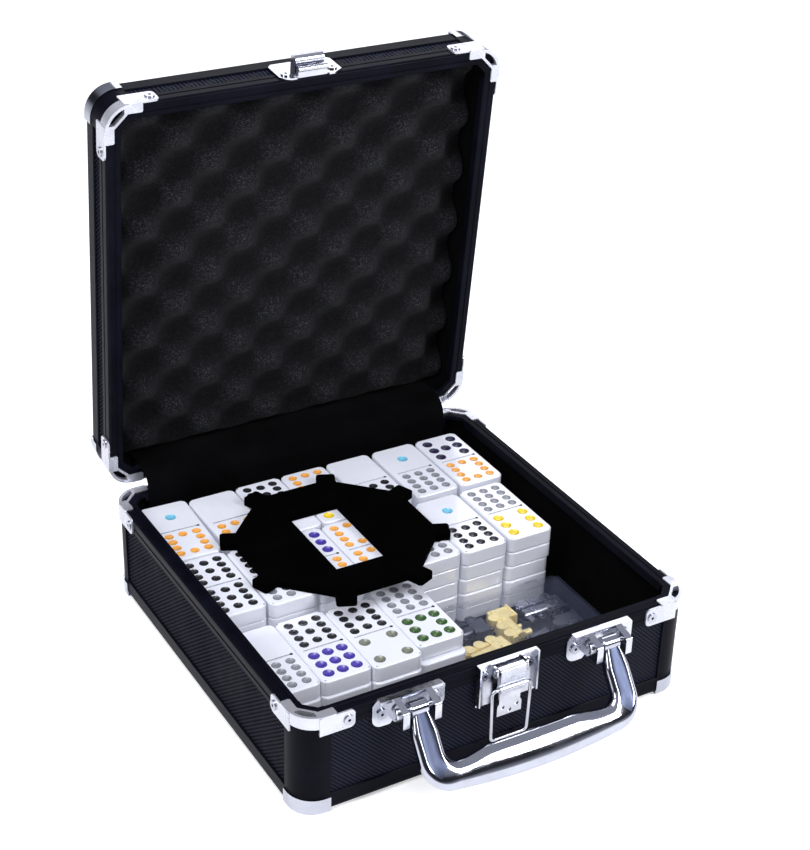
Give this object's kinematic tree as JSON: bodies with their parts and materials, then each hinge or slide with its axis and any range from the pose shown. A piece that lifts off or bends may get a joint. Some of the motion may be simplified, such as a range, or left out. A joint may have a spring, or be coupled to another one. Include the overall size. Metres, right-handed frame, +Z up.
{
  "type": "domino set case",
  "caption": "Open aluminium-railed carrying case with a foam-lined hinged lid, holding stacked dominoes, an eight-sided hub and a clear box of train markers.",
  "frame": {"origin": "middle of the case's outline, on the plane its bottom corner caps stand on", "axes": "+Z up, -Y towards the handle and latch, +Y towards the lid hinges, +X to the right seen from the front"},
  "size_m": [0.203, 0.2607, 0.2644],
  "materials": {
    "velvet": "short-pile black velvet",
    "foam": "open-cell charcoal foam",
    "laminate": "embossed black laminate over board",
    "black_alu": "black anodised extrusion",
    "bright": "bright plated sheet steel",
    "tile": "glossy white resin",
    "hub_flock": "matt black moulding",
    "clear": "clear moulded styrene",
    "gold": "gold plated casting",
    "silver": "silver plated casting",
    "dark_metal": "dark plated casting",
    "strap": "moulded grip with bright edges",
    "steel": "zinc plated steel"
  },
  "bodies": {
    "case_base": {"base_back_panel": "laminate", "base_bottom_corner_caps": "bright", "base_corner_posts": "black_alu", "base_edge_rails_front_back": "black_alu", "base_edge_rails_sides": "black_alu", "base_floor_lining": "velvet", "base_floor_panel": "laminate", "base_front_panel": "laminate", "base_hollow_rivets": "bright", "base_left_panel": "laminate", "base_right_panel": "laminate", "base_rim_corners": "bright", "base_rim_rails_front_back": "black_alu", "base_rim_rails_sides": "black_alu", "base_wall_lining": "velvet", "dominoes_back_row_lower": "tile", "dominoes_back_row_top": "tile", "dominoes_front_row_lower": "tile", "dominoes_front_row_top": "tile", "dominoes_middle_row_lower": "tile", "dominoes_middle_row_top": "tile", "handle_bracket_left": "bright", "handle_bracket_right": "bright", "handle_pins": "bright", "handle_rivets": "bright", "hinge_base_leaves": "steel", "hinge_base_rivets": "steel", "hinge_cover_strip": "velvet", "hinge_pins": "steel", "latch_base_plate": "bright", "latch_lever_pin": "bright"},
    "lid": {"egg_crate_foam": "foam", "hinge_lid_leaves": "steel", "hinge_lid_rivets": "steel", "lid_back_panel": "laminate", "lid_catch": "bright", "lid_corner_posts": "black_alu", "lid_edge_rails_front_back": "black_alu", "lid_edge_rails_sides": "black_alu", "lid_front_panel": "laminate", "lid_hollow_rivets": "bright", "lid_left_panel": "laminate", "lid_right_panel": "laminate", "lid_rim_corners": "bright", "lid_rim_rails_front_back": "black_alu", "lid_rim_rails_sides": "black_alu", "lid_top_corner_caps": "bright", "lid_top_panel": "laminate", "lid_wall_lining": "velvet"},
    "handle": {"handle_bail": "strap"},
    "latch_lever": {"latch_lever": "bright"},
    "latch_loop": {"latch_wire_loop": "bright"},
    "hub": {"hub": "hub_flock"},
    "top_domino": {"domino_twelve_six": "tile"},
    "marker_box": {"marker_box_tray": "clear", "train_markers_gold": "gold", "train_markers_silver": "silver", "train_markers_dark": "dark_metal"},
    "marker_box_lid": {"marker_box_lid": "clear"}
  },
  "joints": [
    {"name": "lid_hinge", "type": "hinge", "parent": "case_base", "child": "lid", "pos_m": [0, 0.103, 0.0525], "axis": [1, 0, 0], "range_deg": [0, 83.96]},
    {"name": "handle_pivot", "type": "hinge", "parent": "case_base", "child": "handle", "pos_m": [0, -0.108, 0.047], "axis": [-1, 0, 0], "range_deg": [-22, 70]},
    {"name": "latch_lever_pivot", "type": "hinge", "parent": "case_base", "child": "latch_lever", "pos_m": [0, -0.104, 0.048], "axis": [-1, 0, 0], "range_deg": [0, 95]},
    {"name": "latch_loop_pivot", "type": "hinge", "parent": "latch_lever", "child": "latch_loop", "pos_m": [0, -0.1058, 0.0392], "axis": [-1, 0, 0], "range_deg": [-95, 0]},
    {"name": "hub_lift", "type": "slide", "parent": "case_base", "child": "hub", "axis": [0, 0, 1], "range_m": [0, 0.06]},
    {"name": "domino_lift", "type": "slide", "parent": "case_base", "child": "top_domino", "axis": [0, 0, 1], "range_m": [0, 0.06]},
    {"name": "marker_box_lift", "type": "slide", "parent": "case_base", "child": "marker_box", "axis": [0, 0, 1], "range_m": [0, 0.085]},
    {"name": "marker_box_lid_hinge", "type": "hinge", "parent": "marker_box", "child": "marker_box_lid", "pos_m": [0.0454, -0.0207, 0.0207], "axis": [-1, 0, 0], "range_deg": [0, 88]}
  ],
  "couplings": [
    {"joint": "latch_loop_pivot", "follows": "latch_lever_pivot", "ratio": -1}
  ]
}
